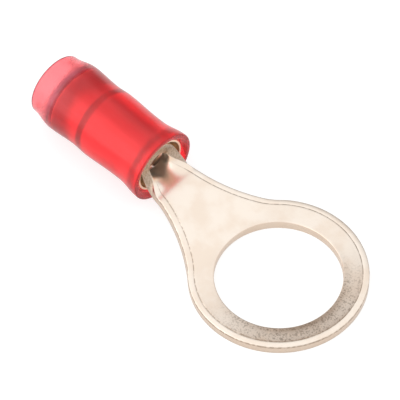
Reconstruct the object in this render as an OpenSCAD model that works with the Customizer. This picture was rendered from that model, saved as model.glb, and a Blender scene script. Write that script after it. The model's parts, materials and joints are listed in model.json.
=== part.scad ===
// Insulated crimp ring terminal for 0.5 to 1.5 mm2 wire and an M8 or 3/8 in stud.
//
// Frame: the origin is the centre of the stud hole on the tongue's underside,
// +Z runs up along the hole and +X points from the barrel towards the ring.
// The terminal lies on the underside of its ring and on the lip of its sleeve.

/* [Ring tongue] */
// Diameter of the stud hole
hole_d = 9.9; // [8.4:0.1:10.6]
// Outside diameter of the ring
ring_d = 13.9; // [13.3:0.05:16]
// How far the ring's outline stands off the stud hole's centre, along the terminal
ring_off_x = -0.16; // [-0.2:0.01:0.2]
// How far the outline of ring and neck stands off the stud hole's centre, across the terminal
outline_off_y = 0.15; // [-0.2:0.01:0.2]
// Thickness of the sheet that the terminal is stamped from
sheet_t = 0.8; // [0.6:0.05:1.0]
// Width of the rolled-over rim along the top edge of the stamping
rim_w = 0.5; // [0.2:0.05:0.7]
// Depth that the rim drops at the outer edge
rim_drop = 0.08; // [0.05:0.01:0.2]

/* [Neck] */
// Width of the neck at its narrowest, where the hollow curves would run on behind the barrel's face
neck_w = 3.55; // [3.2:0.05:4.2]
// Radius of the hollow curves between the ring and the neck
neck_fillet_r = 14; // [12:0.5:16]
// Angle at which the neck climbs from the ring to the barrel
climb_angle = 12.5; // [10:0.5:16]
// Distance from the edge of the stud hole to the first fold
fold_gap = 0.2; // [0.1:0.05:0.6]
// Length of the level stretch between the second fold and the trough
landing_l = 0.24; // [0.2:0.02:0.5]

/* [Wire barrel] */
// Diameter of the bore that takes the bare wire
bore_d = 2.0; // [1.6:0.05:2.2]
// Length of the closed barrel
barrel_l = 5.8; // [4.5:0.1:6.5]
// Distance from the mouth of the sleeve back to the barrel's front face
barrel_setback = 0.5; // [0.3:0.05:0.9]
// Radius of the shoulder between neck and barrel, on the flat stamping
shoulder_r = 1.1; // [0.8:0.05:1.2]
// Depth of the brazed seam line along the top of the barrel
seam_depth = 0.1; // [0.05:0.01:0.2]

/* [Support sleeve] */
// Wall of the metal support sleeve
support_t = 0.2; // [0.15:0.01:0.25]
// Bore of its wide end, which takes the wire's insulation
support_bore_d = 4.5; // [4.4:0.05:4.6]
// Length of its wide end
support_wide_l = 2.7; // [2.2:0.05:3.2]
// Length of the step down to the barrel
support_step_l = 0.4; // [0.3:0.05:0.8]

/* [Insulation sleeve] */
// Distance from the stud hole's centre to the mouth of the sleeve
hole_to_sleeve = 12.3; // [12.2:0.1:14]
// Length of the sleeve
sleeve_l = 11.85; // [11.5:0.05:13]
// Diameter over the lip at the mouth
lip_d = 6.1; // [5.9:0.05:6.4]
// Bore at the inner edge of the lip
lip_bore_d = 4.7; // [4.5:0.05:4.9]
// Width of the lip's flat face
lip_face_w = 0.4; // [0.2:0.02:0.5]
// Depth of the countersink inside the lip
lip_depth = 0.3; // [0.2:0.05:0.45]
// Diameter of the grip, the slimmest part behind the mouth
grip_d = 5.56; // [5.4:0.02:5.7]
// Diameter of the belly over the rear of the barrel
belly_d = 5.8; // [5.6:0.02:6.0]
// Diameter of the waist between belly and bead
waist_d = 5.66; // [5.5:0.02:5.8]
// Diameter of the bead by the support sleeve's rear edge
bead_d = 5.92; // [5.8:0.02:6.1]
// Diameter at the rear edge
rear_d = 5.24; // [5.1:0.02:5.5]
// Length of the collar that stands out behind the support sleeve
collar_l = 2.3; // [1.8:0.05:2.6]
// Length of the flare between the grip and the mouth
flare_l = 2.3; // [2:0.05:2.6]
// Length of the grip
grip_l = 0.6; // [0.4:0.05:1]
// Distance from the barrel's rear edge forward to the top of the belly
belly_setback = 0.3; // [0:0.05:0.6]
// Distance from the support sleeve's step back to the waist
waist_setback = 0.4; // [0.2:0.05:0.8]
// Distance from the support sleeve's rear edge back to the top of the bead
bead_setback = 0.25; // [0.1:0.05:0.5]
// Depth at which both sleeves' flared mouths have narrowed to the barrel
bell_l = 1.5; // [1.2:0.05:2]
// Width of the bevel that breaks the sleeve's outer end edges
end_bevel = 0.12; // [0.05:0.01:0.2]

/* [Fits] */
// Clearance all round between pieces that slide over one another
slide_clear = 0.02; // [0.01:0.01:0.05]

/* [Hidden] */
$fn = 96;

// How far a cutting body runs past what it cuts
over = 1;

// The stamping, as it lies flat before it is folded and rolled
hole_r = hole_d / 2;
ring_r = ring_d / 2;
fillet_y = neck_w / 2 + neck_fillet_r;
fillet_x = ring_off_x - sqrt(pow(ring_r + neck_fillet_r, 2) - pow(fillet_y, 2));

// The sleeve's lip and the ring's underside stand on one plane, which sets the barrel's height
axis_h = lip_d / 2;
bore_r = bore_d / 2;
barrel_d = bore_d + 2 * sheet_t;
neck_rise = axis_h - bore_r - sheet_t;

// The two folds that lift the neck from the ring's level to the barrel's
fold1_x = -(hole_r + fold_gap);
climb_l = (neck_rise + sheet_t * (1 - cos(climb_angle))) / sin(climb_angle);
fold2_x = fold1_x + sheet_t * sin(climb_angle) - climb_l * cos(climb_angle);
fold_shortening = fold2_x - (fold1_x - climb_l);

// The trough, where the flat neck curls up into the round barrel
trough_x = fold2_x - landing_l;
barrel_x = -(hole_to_sleeve + barrel_setback);
shoulder_x = barrel_x + shoulder_r;
mid_r = bore_r + sheet_t / 2;
trough_steps = 8;
shoulder_steps = 10;
arc_steps = 28;
// The trough is a hair thinner than the sheet, and runs this far into the parts that it joins
join_inset = 0.01;
join_l = 0.1;
trough_t = sheet_t - 2 * join_inset;

// Stations along the sleeves, measured forward from the rear edge of the insulation sleeve
sleeve_x = -(hole_to_sleeve + sleeve_l);
barrel_rear_u = barrel_x - barrel_l - sleeve_x;
support_step_u = collar_l + support_wide_l;
bead_u = collar_l - bead_setback;
waist_u = support_step_u - waist_setback;
belly_u = barrel_rear_u + belly_setback;
grip_front_u = sleeve_l - flare_l;
grip_rear_u = grip_front_u - grip_l;
bell_u = sleeve_l - bell_l;
profile_steps = 8;

support_bore_r = support_bore_d / 2;
support_wide_r = support_bore_r + support_t;
support_narrow_bore_r = barrel_d / 2 + slide_clear;
support_narrow_r = support_narrow_bore_r + support_t;

// Width of the flat stamping on one side of the centre line, at a station on the neck
function neck_half_w(s, side) =
    side * outline_off_y + fillet_y - sqrt(pow(neck_fillet_r, 2) - pow(s - fillet_x, 2));

// Smooth step that stays at 0 below 0 and at 1 above 1
function ease(t) =
    let (c = max(0, min(1, t)))
    c * c * (3 - 2 * c);

// How far the shoulder has swept the cut edge out at a station of the trough
function shoulder_flare(x) =
    let (run = max(0, min(shoulder_r, shoulder_x - x)))
    shoulder_r - sqrt(pow(shoulder_r, 2) - pow(run, 2));

// Width of the trough's sheet along its curve, on one side of the centre line
function trough_half_w(x, side) =
    neck_half_w(x - fold_shortening, side) - join_inset + shoulder_flare(x);

// Stations of the trough, closer together along the shoulder
trough_stations = concat(
    [trough_x + join_l],
    [for (i = [0 : trough_steps - 1]) trough_x + (shoulder_x - trough_x) * i / trough_steps],
    [for (i = [0 : shoulder_steps]) shoulder_x - shoulder_r * sin(90 * i / shoulder_steps)],
    [barrel_x - join_l]);

// A point of the sheet's section, u along its width and v across its thickness, rolled to a curvature
function rolled(x, u, v, curvature) =
    curvature < 0.001
        ? [x, u, neck_rise + sheet_t / 2 + v]
        : let (r = 1 / curvature, a = u * curvature * 180 / PI)
          [x, (r - v) * sin(a), neck_rise + sheet_t / 2 + r - (r - v) * cos(a)];

// One ring of points round the trough's section
function trough_section(x) =
    let (
        curvature = ease((trough_x - x) / (trough_x - barrel_x)) / mid_r,
        half_t = trough_t / 2,
        left_w = trough_half_w(x, 1),
        right_w = trough_half_w(x, -1),
        sheet_w = left_w + right_w,
        top_w = sheet_w - 2 * rim_w
    )
    concat(
        [for (i = [0 : arc_steps]) rolled(x, sheet_w * i / arc_steps - right_w, -half_t, curvature)],
        [rolled(x, left_w, half_t - rim_drop, curvature)],
        [for (i = [0 : arc_steps])
            rolled(x, left_w - rim_w - top_w * i / arc_steps, half_t, curvature)],
        [rolled(x, -right_w, half_t - rim_drop, curvature)]);

// Radii between two stations of a profile, on a smooth curve that is level at both ends
function profile_span(from, to) =
    [for (i = [0 : profile_steps - 1])
        let (t = i / profile_steps)
        [from[0] + (to[0] - from[0]) * t, from[1] + (to[1] - from[1]) * (1 - cos(180 * t)) / 2]];

function profile_through(stations) = concat(
    [for (k = [0 : len(stations) - 2]) each profile_span(stations[k], stations[k + 1])],
    [stations[len(stations) - 1]]);

// The flared front of the sleeves, from mouth to barrel, set in from the nylon's own bore
function bell_through(inset) = profile_through([
    [sleeve_l - lip_depth, lip_bore_d / 2 - inset],
    [bell_u, support_narrow_r + slide_clear - inset]]);

function backwards(list) = [for (i = [len(list) - 1 : -1 : 0]) list[i]];

// The wedge between the ring's centre and the centres of the two hollow curves
module neck_wedge() {
    translate([0, outline_off_y])
        polygon([[ring_off_x, 0], [fillet_x, fillet_y], [fillet_x, -fillet_y]]);
}

// The round part of the stamping, with its rolled-over rim
module ring_blank() {
    difference() {
        translate([ring_off_x, outline_off_y, 0])
            rotate_extrude()
                polygon([
                    [0, 0],
                    [ring_r, 0],
                    [ring_r, sheet_t - rim_drop],
                    [ring_r - rim_w, sheet_t],
                    [0, sheet_t]]);
        translate([0, 0, -over])
            linear_extrude(sheet_t + 2 * over)
                neck_wedge();
    }
}

// The neck of the stamping, between the two hollow curves
module neck_blank() {
    difference() {
        linear_extrude(sheet_t)
            neck_wedge();
        for (side = [-1, 1])
            translate([fillet_x, outline_off_y + side * fillet_y, 0])
                rotate_extrude()
                    polygon([
                        [0, -over],
                        [neck_fillet_r, -over],
                        [neck_fillet_r, sheet_t - rim_drop],
                        [neck_fillet_r + 2 * rim_w, sheet_t + rim_drop],
                        [0, sheet_t + rim_drop]]);
    }
}

// The flat stamping between two stations along its length
module blank(from_x, to_x) {
    intersection() {
        union() {
            ring_blank();
            neck_blank();
        }
        translate([from_x, -ring_d, -over])
            cube([to_x - from_x, 2 * ring_d, sheet_t + 2 * over]);
    }
}

// Ring tongue, climbing neck and the short level landing ahead of the trough
module tongue() {
    difference() {
        union() {
            blank(fold1_x, ring_d);
            translate([fold1_x, 0, 0])
                rotate([0, climb_angle, 0])
                    translate([-fold1_x, 0, 0])
                        blank(fold1_x - climb_l, fold1_x);
            translate([fold_shortening, 0, neck_rise])
                blank(fold1_x - climb_l - landing_l, fold1_x - climb_l);
        }
        translate([0, 0, -over])
            cylinder(d = hole_d, h = sheet_t + 2 * over);
    }
}

// Triangles that close one end of the trough's section, whose first point has the index first
function section_cap(first, flip) =
    let (
        right = arc_steps + 1,
        top = right + 1,
        left = top + arc_steps + 1,
        triangles = concat(
            [for (i = [0 : arc_steps - 1]) each [
                [i, i + 1, left - 1 - i],
                [i + 1, left - 2 - i, left - 1 - i]]],
            [[arc_steps, right, top], [left - 1, left, 0]])
    )
    [for (t = triangles) let (f = [for (i = t) i + first]) flip ? [f[2], f[1], f[0]] : f];

// The sheet between neck and barrel, curling up as its cut edge sweeps out into the shoulder
module trough() {
    rings = [for (x = trough_stations) trough_section(x)];
    n = len(rings[0]);
    last = len(rings) - 1;
    polyhedron(
        points = [for (ring = rings) each ring],
        faces = concat(
            section_cap(0, true),
            section_cap(last * n, false),
            [for (k = [0 : last - 1], i = [0 : n - 1]) each [
                [k * n + i, k * n + (i + 1) % n, (k + 1) * n + i],
                [k * n + (i + 1) % n, (k + 1) * n + (i + 1) % n, (k + 1) * n + i]]]));
}

// The closed wire barrel, with the seam line of its brazed butt joint on top
module barrel() {
    translate([barrel_x - barrel_l, 0, axis_h])
        rotate([0, 90, 0])
            difference() {
                cylinder(d = barrel_d, h = barrel_l);
                translate([0, 0, -over])
                    cylinder(d = bore_d, h = barrel_l + 2 * over);
                translate([-barrel_d / 2, 0, -over])
                    rotate([0, 0, 45])
                        translate([-seam_depth / sqrt(2), -seam_depth / sqrt(2), 0])
                            cube([seam_depth * sqrt(2), seam_depth * sqrt(2), barrel_l + 2 * over]);
            }
}

// Tin-plated copper stamping: ring, neck, trough and barrel in one piece
module terminal_body() {
    color([0.90, 0.86, 0.80])
        union() {
            tongue();
            trough();
            barrel();
        }
}

// A profile of [station, radius] points turned round the sleeves' axis
module turned(points) {
    translate([sleeve_x, 0, axis_h])
        rotate([0, 90, 0])
            rotate_extrude()
                polygon([for (p = points) [p[1], p[0]]]);
}

// Metal sleeve that grips the barrel, flares out at its front and holds the wire's insulation behind
module support_sleeve() {
    color([0.72, 0.50, 0.30])
        turned(concat(
            [
                [collar_l, support_bore_r],
                [support_step_u, support_bore_r],
                [support_step_u + support_step_l, support_narrow_bore_r]],
            backwards(bell_through(slide_clear + support_t)),
            bell_through(slide_clear),
            [
                [support_step_u + support_step_l, support_narrow_r],
                [support_step_u, support_wide_r],
                [collar_l, support_wide_r]]));
}

// Translucent nylon sleeve over both, with a flared and countersunk mouth
module insulation_sleeve() {
    outside = profile_through([
        [end_bevel, rear_d / 2],
        [bead_u, bead_d / 2],
        [waist_u, waist_d / 2],
        [belly_u, belly_d / 2],
        [grip_rear_u, grip_d / 2],
        [grip_front_u, grip_d / 2],
        [sleeve_l - end_bevel, lip_d / 2]]);
    color([0.84, 0.16, 0.22, 0.9])
        turned(concat(
            [[0, support_bore_r + slide_clear], [0, rear_d / 2 - end_bevel]],
            outside,
            [[sleeve_l, lip_d / 2 - end_bevel], [sleeve_l, lip_d / 2 - lip_face_w]],
            bell_through(0),
            [
                [support_step_u + support_step_l, support_narrow_r + slide_clear],
                [support_step_u, support_wide_r + slide_clear],
                [collar_l - slide_clear, support_wide_r + slide_clear],
                [collar_l - slide_clear, support_bore_r + slide_clear]]));
}

terminal_body();
support_sleeve();
insulation_sleeve();
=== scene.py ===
"""Looks of an insulated crimp ring terminal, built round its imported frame."""

import json
import math

import bpy
import numpy as np
from mathutils import Matrix, Vector


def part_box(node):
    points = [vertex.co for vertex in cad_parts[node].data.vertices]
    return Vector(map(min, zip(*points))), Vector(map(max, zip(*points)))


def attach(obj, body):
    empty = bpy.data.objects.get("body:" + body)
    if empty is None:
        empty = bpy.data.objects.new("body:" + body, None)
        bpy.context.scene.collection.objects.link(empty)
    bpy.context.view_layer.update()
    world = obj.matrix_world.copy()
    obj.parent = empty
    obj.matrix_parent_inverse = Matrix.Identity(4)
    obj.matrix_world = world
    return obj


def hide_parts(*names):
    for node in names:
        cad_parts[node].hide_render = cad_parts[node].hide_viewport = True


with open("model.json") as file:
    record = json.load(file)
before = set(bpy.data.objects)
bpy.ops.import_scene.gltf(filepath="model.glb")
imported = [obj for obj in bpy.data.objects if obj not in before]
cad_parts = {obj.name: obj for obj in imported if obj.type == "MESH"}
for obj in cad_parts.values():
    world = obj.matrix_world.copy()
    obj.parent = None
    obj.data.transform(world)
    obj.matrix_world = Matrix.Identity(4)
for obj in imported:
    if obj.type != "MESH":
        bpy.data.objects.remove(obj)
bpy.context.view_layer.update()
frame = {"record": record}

# ---------------------------------------------------------------- sizes, in millimetres
MM = 0.001
MOUNTS = {m["name"]: m for m in frame["record"]["mounts"]}


def mount_size(name, key):
    return MOUNTS[name]["dims"][key]


def box_mm(node):
    low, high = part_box(node)
    return np.array(low) / MM, np.array(high) / MM


BODY_LOW, BODY_HIGH = box_mm("terminal_body")
SUPPORT_LOW, SUPPORT_HIGH = box_mm("support_sleeve")
SLEEVE_LOW, SLEEVE_HIGH = box_mm("insulation_sleeve")

HOLE_R = mount_size("stud_hole", "r_mm")
SHEET_T = MOUNTS["tongue_top"]["pos_m"][2] / MM
BORE_R = mount_size("wire_bore", "r_mm")
BARREL_L = mount_size("wire_bore", "length_mm")
BARREL_REAR = MOUNTS["wire_bore"]["pos_m"][0] / MM
BARREL_FRONT = BARREL_REAR + BARREL_L
AXIS_H = MOUNTS["wire_bore"]["pos_m"][2] / MM
MID_R = BORE_R + SHEET_T / 2
NECK_RISE = AXIS_H - BORE_R - SHEET_T

RING_R = (BODY_HIGH[1] - BODY_LOW[1]) / 2
RING_C = np.array([BODY_HIGH[0] - RING_R, (BODY_HIGH[1] + BODY_LOW[1]) / 2])

NECK_W = 3.55
NECK_FILLET_R = 14.0
SHOULDER_R = 1.1
CLIMB = math.radians(12.5)
FOLD_GAP = 0.2
FOLD_1_SOFT = 1.6
FOLD_2_SOFT = 0.9
LANDING_L = 0.24
# Where the centre line starts, past the ring's tip, how far it runs on behind, and its step
LINE_START_U = 8
LINE_SPARE = 1
LINE_STEP = 0.005


# ---------------------------------------------------------------- the stamping, flat
FOLD_1 = -(HOLE_R + FOLD_GAP)
CLIMB_L = NECK_RISE / math.sin(CLIMB)
FOLD_2 = FOLD_1 - CLIMB_L
SHORTENING = CLIMB_L * (1 - math.cos(CLIMB))
TROUGH_U = FOLD_2 - LANDING_L
FRONT_U = BARREL_FRONT - SHORTENING
REAR_U = BARREL_REAR - SHORTENING
SEAM_V = math.pi * MID_R

# Rows of the rim, from the flat top round the edge to the flat underside, as (distance from
# the outline, height of a plain edge, height of a rolled-over edge, painted crease shade, shear mark)
RIM_W = 0.56
T = SHEET_T
RIM_ROWS = np.array([
    (RIM_W, T, T, 0.1, 0), (0.53, T, T - 0.006, 0.7, 0), (0.505, T, T - 0.030, 1, 0),
    (0.475, T, T - 0.032, 0.6, 0), (0.44, T, T - 0.018, 0, 0), (0.36, T, T - 0.014, 0, 0),
    (0.25, T, T - 0.020, 0, 0), (0.15, T, T - 0.032, 0, 0), (0.08, T, T - 0.045, 0, 0),
    (0.04, T - 0.004, T - 0.060, 0.3, 0), (0.012, T - 0.016, T - 0.085, 0.9, 0.3),
    (0.0, T - 0.04, T - 0.125, 0.8, 1), (0.0, T - 0.25, T - 0.28, 0, 1), (0.0, 0.3, 0.3, 0, 1),
    (0.0, 0.05, 0.05, 0.2, 1), (0.014, 0.014, 0.014, 0, 0.5), (0.05, 0.0, 0.0, 0, 0),
    (0.3, 0.0, 0.0, 0, 0), (RIM_W, 0.0, 0.0, 0, 0)])
# Rows of the hole's edge, as (distance from the hole, height, shear mark)
HOLE_TOP_ROWS = np.array([
    (0.0, T - 0.06, 1), (0.012, T - 0.025, 0.8), (0.04, T - 0.006, 0.3), (0.09, T, 0)])
HOLE_LOW_ROWS = np.array([(0.0, 0.05, 1), (0.014, 0.014, 0.8), (0.05, 0.0, 0.3), (0.09, 0.0, 0)])
# Heights of the rows of the hole's wall
HOLE_WALL = np.array([HOLE_TOP_ROWS[0, 1], 0.55, 0.3, HOLE_LOW_ROWS[0, 1]])
# Rows of the barrel's rear end, as (distance from the end, height)
END_ROWS = np.array([
    (0.05, T), (0.015, T - 0.015), (0, T - 0.05), (0, 0.05), (0.015, 0.015), (0.05, 0)])

FACE_STEPS = 10
SHOULDER_STEPS = 14
NECK_STEPS = 56
RING_STEPS = 150
COLUMNS = 44
RING_ROWS = 13
BARREL_ROWS = 16
# Share of the neck's curve that its own grid covers, before the ring's grid takes over
NECK_SHARE = 0.86
# Points closer than this are joined
WELD = 0.002

# The ring's painted dark reflection: its turn and half width in degrees, and its depth by distance from
# the hole
DARK_REFLECTION_TURN = 22
DARK_REFLECTION_SPREAD = 118
DARK_REFLECTION_OUT = (0, 0.25, 0.45, 0.75, 1.05, 1.3, 1.5)
DARK_REFLECTION_DEPTH = (0.95, 1, 0.8, 0.66, 0.64, 0.8, 0.3)
# Rows of the rim that lie farther in than this take the painted dark reflection
DARK_REFLECTION_RIM = 0.5


def ease(t):
    t = np.clip(t, 0, 1)
    return t * t * (3 - 2 * t)


def half_outline(side):
    """Outline on one side, from the seam at the barrel's front face to the ring's tip."""
    cy = NECK_W / 2 + NECK_FILLET_R
    cx = RING_C[0] - math.sqrt((RING_R + NECK_FILLET_R) ** 2 - cy ** 2)
    b_shoulder = math.asin((FRONT_U + SHOULDER_R - cx) / NECK_FILLET_R)
    b_ring = math.atan2(RING_C[0] - cx, cy)
    swept_v = cy - math.sqrt(NECK_FILLET_R ** 2 - (FRONT_U - cx) ** 2) + SHOULDER_R
    seam_v = SEAM_V - side * RING_C[1]
    face = [
        (FRONT_U, swept_v + (seam_v - swept_v) * math.sin(math.pi / 2 * t))
        for t in np.linspace(1, 0, FACE_STEPS + 1)[:-1]
    ]
    shoulder = []
    for a in np.linspace(math.pi / 2, 0, SHOULDER_STEPS + 1)[:-1]:
        u = FRONT_U + SHOULDER_R * (1 - math.sin(a))
        neck_v = cy - math.sqrt(NECK_FILLET_R ** 2 - (u - cx) ** 2)
        shoulder.append((u, neck_v + SHOULDER_R * (1 - math.cos(a))))
    neck = [
        (cx + NECK_FILLET_R * math.sin(b), cy - NECK_FILLET_R * math.cos(b))
        for b in np.linspace(b_shoulder, b_ring, NECK_STEPS + 1)[:-1]
    ]
    start = math.atan2(cy, cx - RING_C[0])
    ring = [
        (RING_C[0] + RING_R * math.cos(a), RING_R * math.sin(a))
        for a in np.linspace(start, 0, RING_STEPS + 1)
    ]
    points = np.array(face + shoulder + neck + ring)
    points[:, 1] = side * points[:, 1] + RING_C[1]
    return points


def outline():
    """The whole outline and its inward normals, from the seam's left side round to its right."""
    left, right = half_outline(1), half_outline(-1)
    points = np.vstack([left, right[-2::-1]])
    tangent = np.gradient(points, axis=0)
    tangent[0], tangent[-1] = (0, -1), (0, -1)
    tangent /= np.linalg.norm(tangent, axis=1)[:, None]
    return points, np.stack([tangent[:, 1], -tangent[:, 0]], axis=1)


# ---------------------------------------------------------------- the stamping, formed
def centre_line():
    """The sheet's underside along the centre line: flat distance, x, height and tilt."""
    u = np.arange(LINE_START_U, REAR_U - LINE_SPARE, -LINE_STEP)
    tilt = CLIMB * (
        ease((FOLD_1 - u) / FOLD_1_SOFT + 0.5) - ease((FOLD_2 - u) / FOLD_2_SOFT + 0.5))
    step = np.concatenate([[0], -np.diff(u)])
    height = np.cumsum(np.sin(tilt) * step)
    x = u[0] - np.cumsum(np.cos(tilt) * step)
    return u[::-1], x[::-1], height[::-1] * NECK_RISE / height[-1], tilt[::-1]


LINE = centre_line()


def form(u, v, w):
    """Folds and rolls a point of the flat stamping, given along, across and above it."""
    x, height, tilt = (np.interp(u, LINE[0], column) for column in LINE[1:])
    curvature = np.maximum(ease((TROUGH_U - u) / (TROUGH_U - FRONT_U)) / MID_R, 1e-7)
    radius = 1 / curvature
    angle = v * curvature
    depth = w - SHEET_T / 2
    y = (radius - depth) * np.sin(angle)
    rise = SHEET_T / 2 + 2 * radius * np.sin(angle / 2) ** 2 + depth * np.cos(angle)
    return np.stack([x + np.sin(tilt) * rise, y, height + np.cos(tilt) * rise], axis=-1)


class Shell:
    """Collects grids of points, with marks for the paint, and joins them into one mesh."""

    def __init__(self, *marks):
        self.points, self.faces, self.size = [], [], 0
        self.marks = {name: [] for name in marks}

    def grid(self, points, flip=False, **marks):
        rows, columns = points.shape[:2]
        self.points.append(points.reshape(-1, 3))
        for name, values in self.marks.items():
            values.append(np.broadcast_to(marks.get(name, 0.0), (rows, columns)).ravel())
        for r in range(rows - 1):
            for c in range(columns - 1):
                a = self.size + r * columns + c
                quad = (a, a + 1, a + columns + 1, a + columns)
                self.faces.append(quad[::-1] if flip else quad)
        self.size += rows * columns

    def mesh(self, name):
        data = bpy.data.meshes.new(name)
        data.from_pydata((np.vstack(self.points) * MM).tolist(), [], self.faces)
        for mark, values in self.marks.items():
            attribute = data.attributes.new(mark, "FLOAT", "POINT")
            attribute.data.foreach_set("value", np.concatenate(values))
        piece = bpy.data.objects.new(name, data)
        bpy.context.scene.collection.objects.link(piece)
        join = piece.modifiers.new("weld", "WELD")
        join.merge_threshold = WELD * MM
        joined = bpy.data.meshes.new_from_object(
            piece.evaluated_get(bpy.context.evaluated_depsgraph_get()))
        piece.modifiers.clear()
        piece.data = joined
        bpy.data.meshes.remove(data)
        joined.name = name
        joined.polygons.foreach_set("use_smooth", [True] * len(joined.polygons))
        return piece


def spread(start, end, steps):
    """Points on straight lines between two rows of points, ends included."""
    t = np.linspace(0, 1, steps + 1)[:, None, None]
    return start[None] * (1 - t) + end[None] * t


def dark_reflection_share(u, v):
    """How much painted dark reflection the ring's face takes: most near the hole at the tip's right,
    none towards the neck.
    """
    around = np.degrees(np.arctan2(v, u)) + DARK_REFLECTION_TURN
    away = np.abs((around + 180) % 360 - 180)
    turn = np.cos(np.pi / 2 * np.clip(away / DARK_REFLECTION_SPREAD, 0, 1)) ** 2
    out = np.hypot(u, v) - HOLE_R
    return turn * np.interp(out, DARK_REFLECTION_OUT, DARK_REFLECTION_DEPTH)


def terminal_mesh():
    """The whole stamping, with its rim, faces, hole and barrel welded into one mesh."""
    # Marks for the paint: the ring's painted dark reflection, painted shade in the rim's creases,
    # sheared walls and cut ends
    shell = Shell("stain", "crease", "shear", "cut")
    points, inward = outline()
    count = len(points)
    last = count - 1
    # The rim is rolled over along neck and ring, and plain along the shoulder and the barrel's face
    along = np.minimum(np.arange(count), last - np.arange(count))
    rolled = ease((along - FACE_STEPS - SHOULDER_STEPS / 2) / SHOULDER_STEPS)
    d = RIM_ROWS[:, 0][:, None]
    u = points[:, 0] + d * inward[:, 0]
    v = points[:, 1] + d * inward[:, 1]
    w = RIM_ROWS[:, 1][:, None] * (1 - rolled) + RIM_ROWS[:, 2][:, None] * rolled
    v[:, 0], v[:, -1] = SEAM_V, -SEAM_V
    # The rim's rows take the painted crease shade and, farther in, the painted dark reflection as marks
    shell.grid(
        form(u, v, w), crease=RIM_ROWS[:, 3][:, None] * rolled, shear=RIM_ROWS[:, 4][:, None],
        cut=RIM_ROWS[:, 4][:, None] * (1 - rolled),
        stain=np.where(RIM_ROWS[:, 0] > DARK_REFLECTION_RIM, 1, 0)[:, None] * dark_reflection_share(u, v))
    inner = np.stack([u[0], v[0]], axis=1)

    # Neck and trough, between the two rims
    gate = FACE_STEPS + SHOULDER_STEPS + int(NECK_STEPS * NECK_SHARE)
    stations = np.arange(FACE_STEPS, gate + 1)
    neck = spread(inner[stations], inner[last - stations], COLUMNS)
    # Barrel, behind the rim of its front face
    front = np.vstack([
        inner[:FACE_STEPS], neck[:, 0], inner[last - FACE_STEPS + 1:]])
    rear = front.copy()
    rear[:, 0] = REAR_U + END_ROWS[0, 0]
    barrel = spread(front, rear, BARREL_ROWS)
    # Ring, from the hole's edge to the rim and to the neck's last station
    loop = np.vstack([inner[gate:last - gate + 1], neck[-2::-1, -1]])
    unit = loop / np.linalg.norm(loop, axis=1)[:, None]
    # The hole's edge and the ring's faces take the painted dark reflection as a mark
    for side, rows, height in ((1, HOLE_TOP_ROWS, SHEET_T), (-1, HOLE_LOW_ROWS, 0.0)):
        flip = side < 0
        edge = np.stack([unit * (HOLE_R + e) for e in rows[:, 0]])
        shell.grid(form(edge[..., 0], edge[..., 1], rows[:, 1][:, None] + 0 * edge[..., 0]), flip,
                   stain=dark_reflection_share(edge[..., 0], edge[..., 1]), shear=rows[:, 2][:, None])
        face = spread(edge[-1], loop, RING_ROWS)
        shell.grid(form(face[..., 0], face[..., 1], height + 0 * face[..., 0]), flip,
                   stain=dark_reflection_share(face[..., 0], face[..., 1]))
        shell.grid(form(neck[..., 0], neck[..., 1], height + 0 * neck[..., 0]), not flip)
        shell.grid(form(barrel[..., 0], barrel[..., 1], height + 0 * barrel[..., 0]), flip)
    # Walls of the hole and of the barrel's rear end
    hole = HOLE_WALL[:, None]
    wall = unit * HOLE_R
    shell.grid(
        form(wall[:, 0] + 0 * hole, wall[:, 1] + 0 * hole, hole + 0 * wall[:, 0]), True, shear=1)
    shell.grid(form(
        REAR_U + END_ROWS[:, 0][:, None] + 0 * rear[:, 1],
        rear[:, 1] + 0 * END_ROWS[:, 0][:, None],
        END_ROWS[:, 1][:, None] + 0 * rear[:, 1]), cut=1)
    return shell.mesh("ring_terminal")


# ---------------------------------------------------------------- the sleeves
LATHE_SEGMENTS = 144


def lathe(name, profile, zones=()):
    """Turns a closed profile of (x, radius) points round the barrel's axis.

    zones are the stretches of the profile, as (first point, one past the last), that take the
    second material.
    """
    count = len(profile)
    points = [
        (x * MM, r * math.sin(a) * MM, (AXIS_H + r * math.cos(a)) * MM)
        for a in np.linspace(0, 2 * math.pi, LATHE_SEGMENTS, endpoint=False) for x, r in profile]
    faces, indices = [], []
    for s in range(LATHE_SEGMENTS):
        for k in range(count):
            a, b = s * count, (s + 1) % LATHE_SEGMENTS * count
            faces.append((a + k, a + (k + 1) % count, b + (k + 1) % count, b + k))
            indices.append(int(any(first <= k < end for first, end in zones)))
    data = bpy.data.meshes.new(name)
    data.from_pydata(points, [], faces)
    data.polygons.foreach_set("use_smooth", [True] * len(faces))
    data.polygons.foreach_set("material_index", indices)
    piece = bpy.data.objects.new(name, data)
    bpy.context.scene.collection.objects.link(piece)
    return piece


SUPPORT_WALL = 0.2
SLIDE = 0.02
SUPPORT_R = (SUPPORT_HIGH[1] - SUPPORT_LOW[1]) / 2
SUPPORT_WIDE_L = 2.7
SUPPORT_STEP_X = SUPPORT_LOW[0] + SUPPORT_WIDE_L
SUPPORT_STEP_L = 0.4
STEP_SOFT = 0.1
SUPPORT_NARROW_R = BORE_R + SHEET_T + SLIDE + SUPPORT_WALL
BELL_R = 2.35
BELL_FRONT_SETBACK = 0.3
BELL_REAR_SETBACK = 1.5
BELL_FRONT_X = SLEEVE_HIGH[0] - BELL_FRONT_SETBACK
BELL_REAR_X = SLEEVE_HIGH[0] - BELL_REAR_SETBACK
SUPPORT_REAR_BEVEL = 0.04
SUPPORT_FRONT_BEVEL = 0.03
SUPPORT_FRONT_DIP = 0.008


def hugging(inset):
    """The run from the mouth's bell back to the wide part, for both sleeves, set in by a gap."""
    step, narrow = SUPPORT_STEP_X, SUPPORT_STEP_X + SUPPORT_STEP_L
    bell = eased([(BELL_FRONT_X, BELL_R), (BELL_REAR_X, SUPPORT_NARROW_R + SLIDE)], 10)
    cone = eased([
        (narrow + STEP_SOFT, SUPPORT_NARROW_R + SLIDE), (step - STEP_SOFT, SUPPORT_R + SLIDE)], 8)
    return [(x, r - inset) for x, r in bell + cone]


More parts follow.
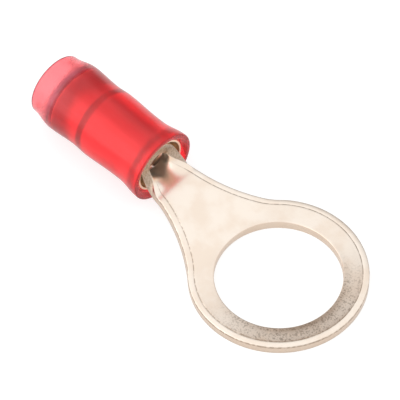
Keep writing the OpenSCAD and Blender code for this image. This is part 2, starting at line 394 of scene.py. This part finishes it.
def support_profile():
    """The support sleeve's closed profile, with its two ends bevelled."""
    rear, t = SUPPORT_LOW[0], SUPPORT_WALL
    bevel, front_bevel, dip = SUPPORT_REAR_BEVEL, SUPPORT_FRONT_BEVEL, SUPPORT_FRONT_DIP
    outer = hugging(SLIDE)[::-1]
    inner = hugging(SLIDE + t)
    (x, r), (inner_x, inner_r) = outer[-1], inner[0]
    outer_rear = [(rear, SUPPORT_R - bevel), (rear + bevel, SUPPORT_R)]
    front = [
        (x - front_bevel, r - dip), (x, r - front_bevel),
        (inner_x, inner_r + front_bevel), (inner_x - front_bevel, inner_r - dip)]
    inner_rear = [(rear + bevel, SUPPORT_R - t), (rear, SUPPORT_R - t + bevel)]
    return outer_rear + outer[:-1] + front + inner[1:] + inner_rear


SLEEVE_L = SLEEVE_HIGH[0] - SLEEVE_LOW[0]
LIP_R = SLEEVE_HIGH[2] - AXIS_H
SLEEVE_REAR_R = 2.62
SLEEVE_EDGE_R = 0.12
COLLAR_BORE_R = SUPPORT_R - SUPPORT_WALL + SLIDE
COLLAR_BEVEL_L = 0.06
COLLAR_BEVEL_H = 0.05
# Outside of the nylon, as (distance from the rear edge, radius)
OUTSIDE = [
    (SLEEVE_EDGE_R, SLEEVE_REAR_R), (2.05, 2.96), (4.6, 2.83), (5.85, 2.90), (8.95, 2.78),
    (9.55, 2.78), (SLEEVE_L - SLEEVE_EDGE_R, LIP_R)]
# Mouth of the nylon, as (distance behind the face of the lip, radius)
MOUTH = [(0.0, 2.68), (0.015, 2.64), (0.27, BELL_R + 0.03)]


def eased(stations, steps=12):
    """A smooth curve through stations, level at each."""
    curve = []
    for (u0, r0), (u1, r1) in zip(stations, stations[1:]):
        curve += [
            (u0 + (u1 - u0) * k / steps, r0 + (r1 - r0) * (1 - math.cos(math.pi * k / steps)) / 2)
            for k in range(steps)]
    return curve + [stations[-1]]


def sleeve_profile():
    """The nylon's closed profile, and the stretch of it that hugs the support sleeve."""
    rear = SLEEVE_LOW[0]
    edge = SLEEVE_EDGE_R
    outside = eased(OUTSIDE)
    lip = [
        (SLEEVE_L - edge + edge * math.sin(a), LIP_R - edge + edge * math.cos(a))
        for a in np.linspace(math.pi / 8, math.pi / 2, 4)]
    mouth = [(SLEEVE_L - u, r) for u, r in MOUTH]
    contact = [(x - rear, r) for x, r in hugging(0)]
    contact += [(SUPPORT_LOW[0] - rear - SLIDE, SUPPORT_R + SLIDE)]
    collar = [
        (SUPPORT_LOW[0] - rear - SLIDE, COLLAR_BORE_R),
        (COLLAR_BEVEL_L, COLLAR_BORE_R), (0.0, COLLAR_BORE_R + COLLAR_BEVEL_H)]
    back = [
        (edge - edge * math.cos(a), SLEEVE_REAR_R - edge + edge * math.sin(a))
        for a in np.linspace(0, math.pi / 2, 5)[:-1]]
    first = len(back) + len(outside) + len(lip) + len(mouth)
    profile = [(rear + u, r) for u, r in back + outside + lip + mouth + contact + collar]
    return profile, (first, first + len(contact) - 1)


# ---------------------------------------------------------------- materials
def srgb(r, g, b):
    """A colour given in 0 to 255 display values, as linear light."""
    def linear(c):
        c /= 255
        return c / 12.92 if c <= 0.04045 else ((c + 0.055) / 1.055) ** 2.4
    return linear(r), linear(g), linear(b), 1.0


class Paint:
    """A material's node tree, with short ways to add and join nodes."""

    def __init__(self, name):
        self.material = bpy.data.materials.new(name)
        self.material.use_nodes = True
        self.tree = self.material.node_tree
        self.shader = self.tree.nodes["Principled BSDF"]
        self.place = self.add("ShaderNodeTexCoord").outputs["Object"]
        axes = self.add("ShaderNodeSeparateXYZ")
        self.put(self.place, axes.inputs[0])
        self.along_x = axes.outputs["X"]

    def add(self, kind, **settings):
        node = self.tree.nodes.new(kind)
        for key, value in settings.items():
            setattr(node, key, value)
        return node

    def put(self, value, socket):
        """Joins an output to a socket, or sets the socket to a plain value."""
        if isinstance(value, bpy.types.NodeSocket):
            self.tree.links.new(value, socket)
        else:
            socket.default_value = value

    def mark(self, name):
        return self.add("ShaderNodeAttribute", attribute_name=name).outputs["Fac"]

    def math(self, operation, a, b):
        node = self.add("ShaderNodeMath", operation=operation)
        for value, socket in zip((a, b), node.inputs):
            self.put(value, socket)
        return node.outputs[0]

    def noise(self, per_mm, detail=2.0, roughness=0.5, stretch=None):
        """Noise from 0 to 1 with so many grains to a millimetre."""
        place = self.place
        if stretch:
            scaled = self.add("ShaderNodeVectorMath", operation="MULTIPLY")
            self.put(place, scaled.inputs[0])
            scaled.inputs[1].default_value = stretch
            place = scaled.outputs[0]
        node = self.add("ShaderNodeTexNoise")
        self.put(place, node.inputs["Vector"])
        node.inputs["Scale"].default_value = per_mm / MM
        node.inputs["Detail"].default_value = detail
        node.inputs["Roughness"].default_value = roughness
        return node.outputs["Fac"]

    def steps(self, value, low, high, low_out=0.0, high_out=1.0):
        """Maps a value from one range to another, smoothly, and stops at the ends."""
        node = self.add("ShaderNodeMapRange", interpolation_type="SMOOTHSTEP")
        for number, socket in zip((value, low, high, low_out, high_out), node.inputs):
            self.put(number, socket)
        return node.outputs[0]

    def mix(self, share, a, b):
        node = self.add("ShaderNodeMix", data_type="RGBA")
        self.put(share, node.inputs[0])
        self.put(a, node.inputs[6])
        self.put(b, node.inputs[7])
        return node.outputs[2]

    def bump(self, height, depth_mm, strength=1.0):
        node = self.add("ShaderNodeBump")
        self.put(height, node.inputs["Height"])
        node.inputs["Distance"].default_value = depth_mm * MM
        node.inputs["Strength"].default_value = strength
        self.tree.links.new(node.outputs["Normal"], self.shader.inputs["Normal"])


def tin():
    """Satin tin plate in a plain tone on the neck; on the ring a painted dark reflection with speckle
    and painted glints; by its rim broken lines of painted shade in the creases.
    """
    paint = Paint("tin_plated_copper")
    shader = paint.shader
    stain = paint.mark("stain")
    crease = paint.mark("crease")
    shear = paint.mark("shear")
    cut = paint.mark("cut")
    cloud = paint.noise(0.55, detail=3)
    speckle = paint.noise(7.0, detail=2.0, roughness=0.6)
    grain = paint.noise(3.2, detail=1.0)
    base_tone = paint.mix(paint.steps(cloud, 0.35, 0.65), srgb(246, 230, 214), srgb(252, 240, 227))
    # Painted dark reflection on the ring's face, deepest near the hole at the tip; the same mark also
    # makes the face rougher
    dark_reflection_weight = paint.math("MULTIPLY", stain, 0.8)
    reflection_darkened = paint.mix(dark_reflection_weight, base_tone, srgb(132, 104, 80))
    # Dark speckle, only inside the painted dark reflection
    dots = paint.math(
        "MULTIPLY", paint.steps(speckle, 0.50, 0.38), paint.steps(stain, 0.05, 0.6, 0.0, 0.5))
    speckled = paint.mix(dots, reflection_darkened, srgb(92, 76, 62))
    # Painted glints: lighter flecks inside the painted dark reflection
    glints = paint.math(
        "MULTIPLY", paint.steps(grain, 0.58, 0.75), paint.steps(stain, 0.1, 0.7, 0.0, 0.35))
    ringed = paint.mix(glints, speckled, srgb(226, 204, 184))
    walls = paint.mix(paint.math("MULTIPLY", shear, 0.8), ringed, srgb(222, 200, 180))
    # Painted shade in the rim's creases, in broken lines
    lines = paint.math("MULTIPLY", crease, paint.steps(grain, 0.3, 0.6, 0.25, 0.8))
    lined = paint.mix(lines, walls, srgb(132, 108, 86))
    torn = paint.math("MULTIPLY", cut, paint.steps(speckle, 0.35, 0.6, 0.9, 0.55))
    faced = paint.mix(torn, lined, srgb(150, 126, 106))
    paint.put(faced, shader.inputs["Base Color"])
    shader.inputs["Metallic"].default_value = 1.0
    rough = paint.math("ADD", 0.3, paint.math("MULTIPLY", stain, 0.15))
    paint.put(rough, shader.inputs["Roughness"])
    paint.bump(speckle, 0.01, 0.3)
    return paint.material


def support_metal():
    """Warm drawn metal, with fine streaks along the sleeve."""
    paint = Paint("support_metal")
    shader = paint.shader
    shader.inputs["Metallic"].default_value = 1.0
    shader.inputs["Roughness"].default_value = 0.34
    drawn = paint.noise(2.5, detail=2, stretch=(0.08, 1, 1))
    paint.put(paint.mix(drawn, srgb(236, 208, 178), srgb(250, 228, 204)), shader.inputs["Base Color"])
    return paint.material


def nylon():
    """Red nylon, painted paler in the collar as if lit through, where nothing lies behind it, and
    deeper at its rear edge.
    """
    paint = Paint("red_nylon")
    shader = paint.shader
    shader.inputs["Roughness"].default_value = 0.22
    shader.inputs["IOR"].default_value = 1.5
    shader.inputs["Transmission Weight"].default_value = 0.86
    haze = paint.noise(0.5, detail=2)
    deep = paint.mix(haze, srgb(249, 36, 48), srgb(251, 44, 56))
    # Painted light: the collar's colour is paler, as light shining through where nothing lies behind it
    collar = paint.steps(paint.along_x, (SUPPORT_LOW[0] + 0.02) * MM, (SUPPORT_LOW[0] - 0.06) * MM)
    body = paint.mix(collar, deep, srgb(247, 118, 124))
    rim = paint.steps(paint.along_x, (SLEEVE_LOW[0] + 0.10) * MM, (SLEEVE_LOW[0] + 0.02) * MM)
    paint.put(paint.mix(rim, body, srgb(150, 60, 90)), shader.inputs["Base Color"])
    return paint.material


def nylon_contact():
    """The nylon's inner face where it hugs the metal, so nothing bends or mirrors light there."""
    paint = Paint("red_nylon_contact")
    clear = paint.add("ShaderNodeBsdfTransparent")
    output = paint.tree.nodes["Material Output"]
    paint.tree.links.new(clear.outputs[0], output.inputs["Surface"])
    paint.tree.nodes.remove(paint.shader)
    return paint.material


# ---------------------------------------------------------------- pieces
def dress(piece, node, slot, *materials):
    """Gives a piece its materials, and lets it stand for its CAD node."""
    for material in materials:
        piece.data.materials.append(material)
    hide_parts(node)
    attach(piece, "root")


dress(terminal_mesh(), "terminal_body", "tin_plated_copper", tin())
dress(lathe("metal_support_sleeve", support_profile()), "support_sleeve", "support_metal",
      support_metal())
nylon_outline, contact_zone = sleeve_profile()
dress(lathe("nylon_sleeve", nylon_outline, [contact_zone]), "insulation_sleeve", "red_nylon",
      nylon(), nylon_contact())


# ---------------------------------------------------------------- stage, light and camera
SKY_LEVEL = 1.04
# Brighter and darker parts of the sky, as (direction, cosine where it starts, cosine where it is
# full, amount)
SKY_LOBES = [
    ((-0.45, -0.80, 0.42), 0.55, 0.97, 0.75),
    ((-0.42, 0.85, 0.25), 0.80, 0.98, -0.62)]
# The floor's side and drop in metres, its own grey, and how bright it looks directly or through
# the nylon, and in reflections
FLOOR_SIZE = 3.0
FLOOR_DROP = 0.00001
FLOOR_GREY = 0.4
FLOOR_SEEN = 0.7
FLOOR_MIRRORED = 0.55


def add_floor():
    """A pale floor that keeps the object's shadow and looks white to the camera."""
    bpy.ops.mesh.primitive_plane_add(size=FLOOR_SIZE, location=(0, 0, -FLOOR_DROP))
    floor = bpy.context.object
    floor.name = "floor"
    material = bpy.data.materials.new("floor_white")
    material.use_nodes = True
    nodes, links = material.node_tree.nodes, material.node_tree.links
    nodes.clear()
    out = nodes.new("ShaderNodeOutputMaterial")
    add = nodes.new("ShaderNodeAddShader")
    diffuse = nodes.new("ShaderNodeBsdfDiffuse")
    diffuse.inputs["Color"].default_value = (FLOOR_GREY, FLOOR_GREY, FLOOR_GREY, 1)
    glow = nodes.new("ShaderNodeEmission")
    path = nodes.new("ShaderNodeLightPath")
    seen = nodes.new("ShaderNodeMath")
    seen.operation = "MAXIMUM"
    links.new(path.outputs["Is Camera Ray"], seen.inputs[0])
    links.new(path.outputs["Is Transmission Ray"], seen.inputs[1])
    glossy = nodes.new("ShaderNodeMath")
    glossy.operation = "MULTIPLY_ADD"
    glossy.inputs[1].default_value = FLOOR_MIRRORED
    links.new(path.outputs["Is Glossy Ray"], glossy.inputs[0])
    lift = nodes.new("ShaderNodeMath")
    lift.operation = "MULTIPLY"
    lift.inputs[1].default_value = FLOOR_SEEN
    links.new(seen.outputs[0], lift.inputs[0])
    links.new(lift.outputs[0], glossy.inputs[2])
    links.new(glossy.outputs[0], glow.inputs["Strength"])
    links.new(diffuse.outputs[0], add.inputs[0])
    links.new(glow.outputs[0], add.inputs[1])
    links.new(add.outputs[0], out.inputs["Surface"])
    floor.data.materials.append(material)


def add_world():
    """A white studio: brighter low on the sleeve's left side, darker low behind the object."""
    world = bpy.data.worlds.new("studio")
    world.use_nodes = True
    nodes, links = world.node_tree.nodes, world.node_tree.links
    background = nodes["Background"]
    place = nodes.new("ShaderNodeTexCoord").outputs["Generated"]

    def lobe(direction, low, high, amount):
        dot = nodes.new("ShaderNodeVectorMath")
        dot.operation = "DOT_PRODUCT"
        links.new(place, dot.inputs[0])
        dot.inputs[1].default_value = Vector(direction).normalized()
        curve = nodes.new("ShaderNodeMapRange")
        curve.interpolation_type = "SMOOTHSTEP"
        for value, socket in zip((low, high, 0.0, amount), list(curve.inputs)[1:5]):
            socket.default_value = value
        links.new(dot.outputs["Value"], curve.inputs[0])
        return curve.outputs[0]

    total = None
    for direction, low, high, amount in SKY_LOBES:
        part = lobe(direction, low, high, amount)
        if total is None:
            total = part
            continue
        add = nodes.new("ShaderNodeMath")
        links.new(total, add.inputs[0])
        links.new(part, add.inputs[1])
        total = add.outputs[0]
    level = nodes.new("ShaderNodeMath")
    level.inputs[1].default_value = SKY_LEVEL
    links.new(total, level.inputs[0])
    seen = nodes.new("ShaderNodeLightPath").outputs["Is Camera Ray"]
    strength = nodes.new("ShaderNodeMix")
    links.new(seen, strength.inputs["Factor"])
    links.new(level.outputs[0], strength.inputs["A"])
    strength.inputs["B"].default_value = 1.0
    links.new(strength.outputs["Result"], background.inputs["Strength"])
    background.inputs["Color"].default_value = (1, 1, 1, 1)
    bpy.context.scene.world = world


# The camera's angles in degrees, its distance and aim in millimetres, and its lens
CAMERA_AZIMUTH = 44.456
CAMERA_ELEVATION = 53.428
CAMERA_ROLL = -0.443
CAMERA_DISTANCE = 308.97
CAMERA_AIM = (-9.231, 0.914, SHEET_T)
CAMERA_LENS = 360


def add_camera():
    """A camera at the set angles, looking at the aim from the set distance."""
    azimuth, elevation, roll = (
        math.radians(a) for a in (CAMERA_AZIMUTH, CAMERA_ELEVATION, CAMERA_ROLL))
    back = Vector((math.sin(azimuth) * math.cos(elevation),
                   -math.cos(azimuth) * math.cos(elevation), math.sin(elevation)))
    right = Vector((math.cos(azimuth), math.sin(azimuth), 0))
    turn = Matrix.Rotation(roll, 3, back)
    axes = Matrix((turn @ right, turn @ back.cross(right), back)).transposed()
    data = bpy.data.cameras.new("camera")
    data.lens = CAMERA_LENS
    data.clip_end = 10
    camera = bpy.data.objects.new("camera", data)
    camera.matrix_world = Matrix.Translation(
        (Vector(CAMERA_AIM) + back * CAMERA_DISTANCE) * MM) @ axes.to_4x4()
    bpy.context.scene.collection.objects.link(camera)
    bpy.context.scene.camera = camera


add_floor()
add_world()
add_camera()
bpy.context.scene.view_settings.view_transform = "Standard"
